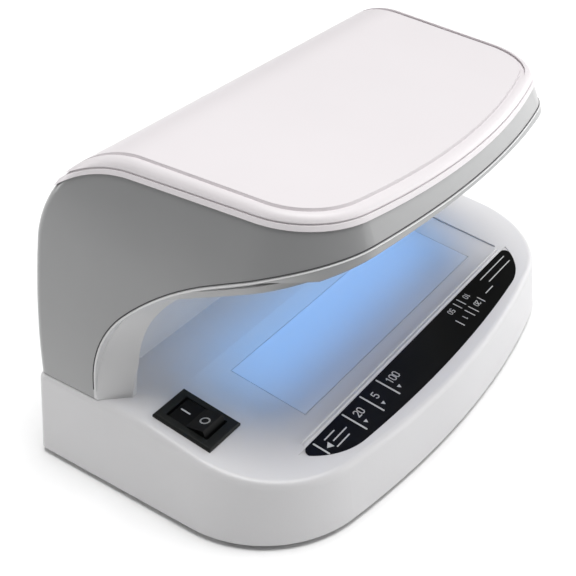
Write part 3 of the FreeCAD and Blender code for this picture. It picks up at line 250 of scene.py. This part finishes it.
def make_materials():
    """Every material, under the name of its slot in the record or of the piece that wears it."""
    steel = metal("zinc_steel", (0.56, 0.57, 0.6), 0.32, 2500, (0.75, 0.75, 0.78))
    brass = metal("contact_brass", (0.75, 0.56, 0.26), 0.3, 2500, (0.9, 0.75, 0.45))
    aluminium = metal("bright_sheet", (0.82, 0.82, 0.84), 0.22, 900, (0.9, 0.9, 0.9))
    return {
        "hood_gray": plastic("hood_gray", (0.255, 0.257, 0.259), 0.32, coat=1.0),
        "cover_white": plastic("cover_white", (0.765, 0.73, 0.745), 0.38, coat=0.05, tint=0.012,
                               shine=0.3),
        "base_white": plastic("base_white", (0.645, 0.64, 0.648), 0.40, coat=0.2, tint=0.02, grain=1100,
                              grain_depth=0.16),
        # painted shade: the liner is pale on the arch rims and darkens towards its front lip, nearly to the
        # shell's gray
        "liner_gray": painted_shade_front(plastic("liner_gray", (0.60, 0.60, 0.605), 0.36, coat=0.6),
                                   (0.30, 0.302, 0.305), LIP_BACK, LIP_FRONT),
        "label_black": plastic("label_film", (0.0025, 0.0027, 0.0025), 0.32, grain=700,
                               grain_depth=0.03, shine=0.14),
        "switch_black": plastic("switch_black", (0.003, 0.003, 0.003), 0.34, grain=2600, shine=0.10),
        "bezel_black": plastic("bezel_black", (0.007, 0.008, 0.007), 0.42, grain=900, grain_depth=0.2,
                               shine=0.2),
        "foot_rubber": plastic("foot_rubber", (0.022, 0.022, 0.024), 0.85, grain=900, grain_depth=0.25),
        "screw_steel": steel,
        "bottom_gray": plastic("bottom_gray", (0.20, 0.20, 0.21), 0.6, grain=700, grain_depth=0.3),
        "window_opal": clear("window_opal", (0.72, 0.76, 0.82), 0.35, 0.10),
        "lamp_clear": clear("lamp_clear", (0.92, 0.95, 1.0), 0.08, 0.95),
        "lamp_tube": glowing("lamp_tube", (0.62, 0.66, 0.95), (0.16, 0.26, 1.0), 0.35),
        "cap_metal": aluminium,
        "holder_white": plastic("holder_white", (0.76, 0.76, 0.73), 0.5),
        "reflector_metal": aluminium,
        "board_green": plastic("solder_mask", (0.015, 0.11, 0.04), 0.3, coat=0.5, grain=600),
        "led_body": plastic("led_body", (0.80, 0.76, 0.45), 0.35, coat=0.5),
        "choke_core": plastic("choke_varnish", (0.06, 0.055, 0.05), 0.4, grain=700, grain_depth=0.3),
        "capacitor_sleeve": plastic("capacitor_sleeve", (0.012, 0.02, 0.06), 0.3, coat=0.4),
        "connector_white": plastic("connector_nylon", (0.74, 0.72, 0.66), 0.5),
        "contact_brass": brass,
        "spring_steel": steel,
        "wire_sleeve": plastic("wire_sleeve", (0.02, 0.045, 0.22), 0.45, grain=500),
        # painted shadow: a dark line standing for the shade in the joint between shell and liner
        "joint_shadow": plastic("joint_shadow", (0.075, 0.075, 0.078), 0.7, grain=900, shine=0.1),
        # painted highlight: lighter than the liner, for the light caught along the liner's edge
        "liner_edge_highlight": plastic("liner_edge_highlight", (0.72, 0.72, 0.725), 0.32, coat=0.5),
        "marking": plastic("marking_ink", (0.58, 0.59, 0.58), 0.5, grain=2600, tint=0.06),
    }


def dress_nodes(materials):
    """Gives every CAD node the material of its slot in the record, and the switch frame its own."""
    for part in frame["record"]["subparts"]:
        node = NODES[part["node"]]
        if not node.material_slots:
            node.data.materials.append(None)
        for place in node.material_slots:
            place.material = materials[part["material_slot"]]
    for place in NODES["switch_bezel"].material_slots:
        place.material = materials["bezel_black"]


# ---------------------------------------------------------------- pieces

# The deck slopes down to the front from a bend at this depth and height, in millimetres.
DECK_BREAK, DECK_TOP, DECK_ANGLE = 14.2, 36.0, math.radians(8.25)


def deck(x, along, above=0.0):
    """A point near the sloping deck, in metres, from millimetres: x, how far along the slope behind the
    bend (negative towards the front), and the height above the slope."""
    c, s = math.cos(DECK_ANGLE), math.sin(DECK_ANGLE)
    return Vector((x, DECK_BREAK + along * c - above * s, DECK_TOP + along * s + above * c)) * MM


def piece(name, bm, material, body):
    """Turns a bmesh into a named object that rides on a CAD body."""
    mesh = bpy.data.meshes.new(name)
    bmesh.ops.recalc_face_normals(bm, faces=bm.faces)
    bm.to_mesh(mesh)
    bm.free()
    mesh.materials.append(material)
    made = bpy.data.objects.new(name, mesh)
    bpy.context.scene.collection.objects.link(made)
    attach(made, body)


def slab(bm, corners, place, low, high):
    """A flat closed shape with an outline of (x, y) corners, from low to high.

    place turns its x, y and z in millimetres into a point in metres."""
    rings = [[bm.verts.new(place(x, y, z)) for x, y in corners] for z in (low, high)]
    bm.faces.new(list(reversed(rings[0])))
    bm.faces.new(rings[1])
    count = len(corners)
    for i in range(count):
        j = (i + 1) % count
        bm.faces.new((rings[0][i], rings[0][j], rings[1][j], rings[1][i]))


END_STEPS = 6  # straight sides of each round end


def stroke(bm, points, width, place, low, high, closed=False):
    """A line of even width through (x, y) points, made as one slab per run with round ends."""
    for (x1, y1), (x2, y2) in zip(points, points[1:] + points[:1] if closed else points[1:]):
        angle = math.atan2(y2 - y1, x2 - x1)
        outline = []
        for x, y, turn in ((x2, y2, -math.pi / 2), (x1, y1, math.pi / 2)):
            for step in range(END_STEPS + 1):
                a = angle + turn + math.pi * step / END_STEPS
                outline.append((x + width / 2 * math.cos(a), y + width / 2 * math.sin(a)))
        slab(bm, outline, place, low, high)


# Each digit's lines, in a box DIGIT_WIDE x DIGIT_TALL, and the distance from one digit to the next.
DIGIT_WIDE, DIGIT_TALL, DIGIT_PITCH = 0.7, 1.2, 0.95
DIGITS = {
    "0": [[(0, .2), (.2, 0), (.5, 0), (.7, .2), (.7, 1), (.5, 1.2), (.2, 1.2), (0, 1), (0, .2)]],
    "1": [[(.15, 1.0), (.4, 1.2), (.4, 0)]],
    "2": [[(0, 1), (.2, 1.2), (.5, 1.2), (.7, 1), (.7, .75), (0, 0), (.7, 0)]],
    "5": [[(.65, 1.2), (.05, 1.2), (0, .65), (.45, .7), (.7, .5), (.7, .2), (.5, 0), (.2, 0), (0, .15)]],
}


def write_number(bm, text, x, along, height, width, place, low, high, turned=False):
    """Digits drawn with strokes, centred on x and along; turned shows them from the other side."""
    scale = height / DIGIT_TALL
    pitch = DIGIT_PITCH * scale
    total = len(text) * pitch - (DIGIT_PITCH - DIGIT_WIDE) * scale
    sign = -1 if turned else 1
    for index, digit in enumerate(text):
        for line in DIGITS[digit]:
            shifted = []
            for px, py in line:
                dx = index * pitch + px * scale - total / 2
                dy = py * scale - height / 2
                shifted.append((x + sign * dx, along + sign * dy))
            stroke(bm, shifted, width, place, low, high)


def make_label_marks(materials):
    """White marks printed on the label: bars to line a note up with, arrows and numbers.

    Every place is an (x, along) on the deck in millimetres."""
    bm = bmesh.new()
    low, high = 0.05, 0.11  # the print, above the deck

    def bar(x1, along1, x2, along2, width):
        stroke(bm, [(x1, along1), (x2, along2)], width, deck, low, high)

    def number(text, x, along, height, width, turned=False):
        write_number(bm, text, x, along, height, width, deck, low, high, turned)

    def arrow_left(x, along, size):
        back = x + size * 0.7
        slab(bm, [(x - size, along), (back, along - size), (back, along + size)], deck, low, high)

    def arrow_front(x, along, size):
        back = along + size * 0.6
        slab(bm, [(x - size, back), (x, along - size), (x + size, back)], deck, low, high)

    # left end: lines, arrows and numbers, and bars where words would be
    for x, front in ((-75.8, -60.0), (-56.8, -63.8), (-44.5, -63.7), (-32.8, -63.7)):
        bar(x, -53.4, x, front, 0.75)
    arrow_left(-72.6, -58.0, 1.5)
    for x in (-53.6, -41.2, -29.4):
        arrow_front(x, -61.6, 0.95)
    for text, x in (("20", -51.6), ("5", -40.0), ("100", -27.0)):
        number(text, x, -57.2, 3.0, 0.42)
    for start, end, along in ((-71.5, -65.4, -55.2), (-69.6, -61.2, -57.8), (-71.0, -63.2, -60.4)):
        bar(start, along, end, along, 0.5)
    # right end: lines, numbers that read from the other side, and bars where words would be
    for x, back, front in ((29.4, -53.8, -57.9), (32.9, -53.6, -57.9), (32.4, -59.6, -64.3),
                           (29.1, -59.6, -64.2), (20.3, -59.9, -63.9), (40.6, -59.6, -63.2)):
        bar(x, back, x, front, 0.5)
    for text, x, along in (("10", 38.0, -55.6), ("50", 24.2, -55.6), ("1", 25.0, -61.8), ("20", 37.0, -61.4)):
        number(text, x, along, 2.3, 0.34, turned=True)
    for start, end, along in ((52.5, 76.0, -55.0), (54.5, 75.0, -58.4), (46.0, 52.5, -61.0)):
        bar(start, along, end, along, 0.42)
    piece("label_marks", bm, materials["marking"], "housing")


# The rocker's pivot on the deck, the slope of each half of its top, and the valley between the halves.
ROCKER_PIVOT = (-94.5, -15.4, -2.0)
ROCKER_SLOPE = math.radians(9)
ROCKER_VALLEY = 3.4
RING_SIDES = 24


def make_switch_marks(materials):
    """The on and off marks moulded into the rocker's two sloping halves."""
    pivot = deck(*ROCKER_PIVOT)
    tilt = Matrix.Rotation(DECK_ANGLE - ROCKER_SLOPE, 3, "X")
    rise = math.tan(ROCKER_SLOPE)
    low, high = -0.05, 0.04  # the marks, from just inside the rocker to just above it

    def on_rocker(x, y, z):
        return pivot + tilt @ (Vector((x, y, ROCKER_VALLEY + abs(y) * rise + z)) * MM)

    bm = bmesh.new()
    stroke(bm, [(0, 2.6), (0, 6.2)], 0.62, on_rocker, low, high)
    turns = [2 * math.pi * i / RING_SIDES for i in range(RING_SIDES)]
    ring = [(1.55 * math.cos(a), -4.4 + 1.75 * math.sin(a)) for a in turns]
    stroke(bm, ring, 0.6, on_rocker, low, high, closed=True)
    piece("rocker_marks", bm, materials["marking"], "rocker")


WELD = 2e-6  # metres between points of the shell's mesh that count as one
SEAM_LOW, SEAM_HIGH = 0.0385, 0.113  # heights between which the seam runs
HOOD_MIDDLE = 0.01  # y of the hood's middle
SHORTEST_RUN = 6  # points


def on_seam(edge):
    """The cut's face, when an edge of the shell parts its outer skin from the cut that makes its arches
    and front, or else None.

    The cut faces forward or down and not to a side, the skin faces outward, and the edge is sharp."""
    middle = (edge.verts[0].co + edge.verts[1].co) / 2
    if len(edge.link_faces) != 2 or not SEAM_LOW < middle.z < SEAM_HIGH:
        return None
    outward = Vector((middle.x, middle.y - HOOD_MIDDLE, 0)).normalized()
    cut, skin = sorted(edge.link_faces, key=lambda face: face.normal.z)
    is_cut = abs(cut.normal.x) < 0.02 and cut.normal.y < 0.3 and cut.normal.z < 0.35
    is_skin = skin.normal.dot(outward) >= 0.3
    is_sharp = skin.normal.dot(cut.normal) <= 0.75
    return cut if is_cut and is_skin and is_sharp else None


def seam_chains():
    """Runs of (point, way into the opening) along the edge where the shell's skin meets its cut."""
    shell = bmesh.new()
    shell.from_mesh(NODES["hood_shell"].data)
    bmesh.ops.remove_doubles(shell, verts=shell.verts, dist=WELD)
    near, ways = {}, {}
    for edge in shell.edges:
        cut = on_seam(edge)
        if cut is None:
            continue
        for one, other in (edge.verts, reversed(edge.verts)):
            near.setdefault(one, []).append(other)
            ways[one] = ways.get(one, Vector()) + cut.normal
    chains, used = [], set()
    ends = [vert for vert in near if len(near[vert]) == 1]
    for start in sorted(ends, key=lambda vert: tuple(vert.co)):
        if start in used:
            continue
        chain, vert = [], start
        while vert is not None:
            used.add(vert)
            chain.append((vert.co.copy(), ways[vert].normalized()))
            vert = next((other for other in near[vert] if other not in used), None)
        if len(chain) >= SHORTEST_RUN:
            chains.append(chain)
    shell.free()
    return chains


# Name, distance from the seam into the opening and radius, in millimetres, and material.
# The first line is a painted shadow in the joint, the second a bead lighter than the liner as a painted
# highlight.
SEAM_TRIM = (("arch_joint_shadow", 0.0, 0.22, "joint_shadow"), ("arch_edge_highlight", 0.75, 0.35, "liner_edge_highlight"))


def make_seam_trim(materials):
    """A dark line painted as the shadow in the joint between shell and liner, and a fine bead along the
    liner's edge beside it, lighter than the liner as a painted highlight.
    """
    chains = seam_chains()
    for name, shift, radius, material in SEAM_TRIM:
        curve = bpy.data.curves.new(name, "CURVE")
        curve.dimensions = "3D"
        curve.bevel_depth = radius * MM
        curve.bevel_resolution = 2
        curve.use_fill_caps = True
        for chain in chains:
            spline = curve.splines.new("POLY")
            spline.points.add(len(chain) - 1)
            for point, (place, way) in zip(spline.points, chain):
                point.co = (*(place + way * (shift * MM)), 1.0)
        curve.materials.append(materials[material])
        trim = bpy.data.objects.new(name, curve)
        bpy.context.scene.collection.objects.link(trim)
        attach(trim, "housing")


# Where the ribs lie along the deck, their cross-section as (along, above), and the stations of their
# length as (x, size of the cross-section).
RIBS = (-49.75, -51.15)
RIB_PROFILE = ((-0.55, -0.05), (-0.42, 0.18), (-0.2, 0.34), (0.2, 0.34), (0.42, 0.18), (0.55, -0.05))
RIB_STATIONS = ((-79.0, 0.3), (-78.3, 0.85), (-77.5, 1.0), (77.5, 1.0), (78.3, 0.85), (79.0, 0.3))


def make_note_ribs(materials):
    """Two fine parallel ribs between the bed and the label, for the note's front edge."""
    bm = bmesh.new()
    count = len(RIB_PROFILE)
    for middle in RIBS:
        rings = [[bm.verts.new(deck(x, middle + along * size, above * size))
                  for along, above in RIB_PROFILE] for x, size in RIB_STATIONS]
        for first, second in zip(rings, rings[1:]):
            for i in range(count):
                j = (i + 1) % count
                bm.faces.new((first[i], first[j], second[j], second[i]))
        bm.faces.new(rings[0])
        bm.faces.new(rings[-1])
    piece("note_ribs", bm, materials["base_white"], "housing")


def make_glow():
    """Blue light from under the hood's roof onto the bed."""
    lamp = area_light("uv_glow", place=(0.0, -0.012, 0.086), target=(0.0, 0.014, 0.03),
                      size=(0.15, 0.05), power=0.022, colour=(0.03, 0.40, 1.0))
    lamp.data.spread = math.radians(66)


materials = make_materials()
make_camera()
make_studio()
dress_nodes(materials)
make_label_marks(materials)
make_switch_marks(materials)
make_seam_trim(materials)
make_note_ribs(materials)
make_glow()
